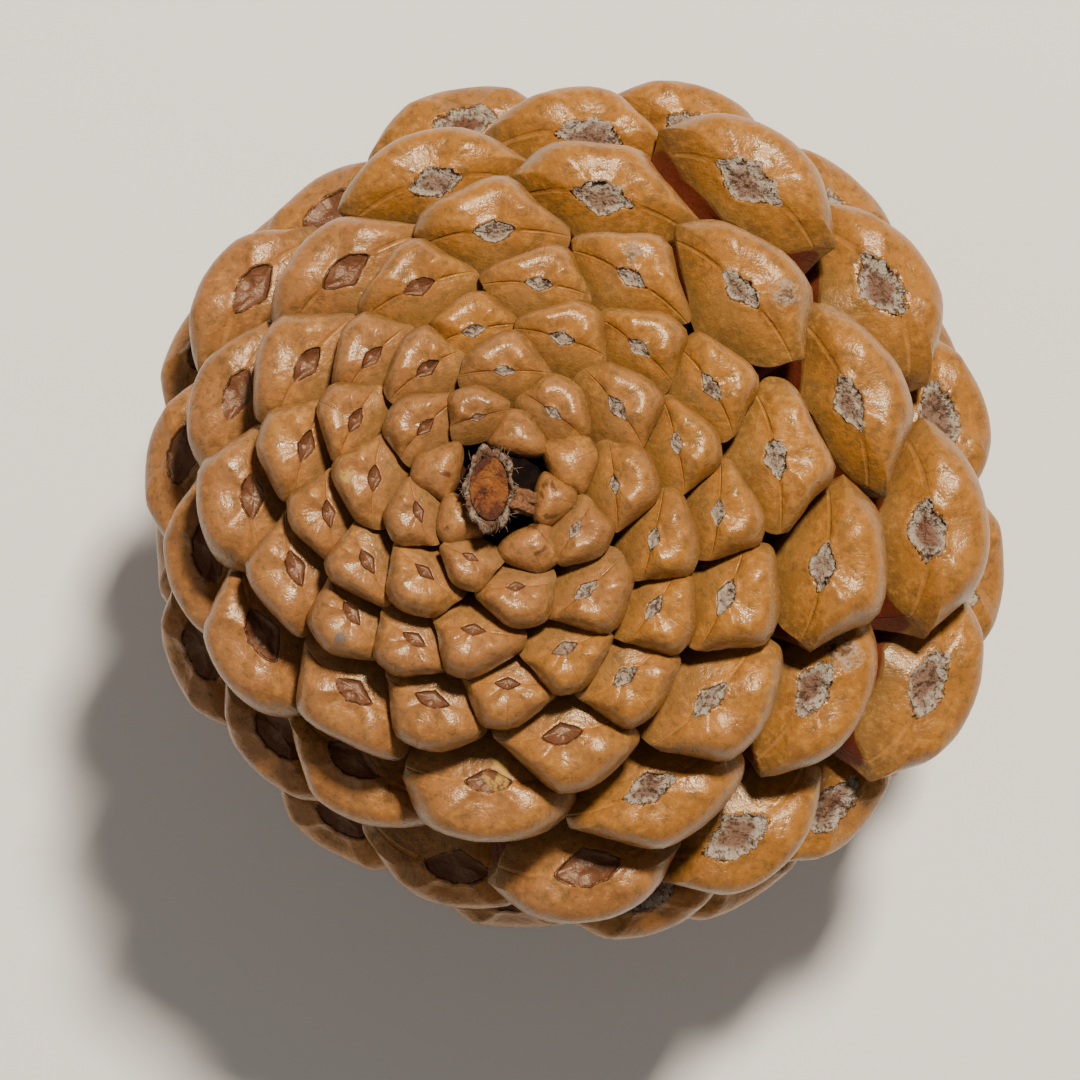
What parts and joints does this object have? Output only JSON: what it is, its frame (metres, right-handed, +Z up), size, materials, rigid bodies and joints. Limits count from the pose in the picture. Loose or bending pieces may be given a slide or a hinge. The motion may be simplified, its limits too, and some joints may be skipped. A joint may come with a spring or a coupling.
{
  "type": "pine cone",
  "caption": "Open woody pine cone standing on its tip, with spiralling domed scales, small knobs round a broken stem stub and a flat rest spot.",
  "frame": {"origin": "middle of the flat spot under the tip, which rests on the surface", "axes": "+Z up towards the stem, +X towards the side whose scales stand out furthest"},
  "size_m": [0.1075, 0.1074, 0.1117],
  "materials": {
    "cone_scales": "smooth caramel-brown woody scales, softly glossy, with grey-brown weathered bosses",
    "stem_wood": "dull orange-brown pith inside a torn ring of grey bark"
  },
  "bodies": {
    "root": {"cone": "cone_scales", "stem_stub": "stem_wood"}
  },
  "joints": []
}
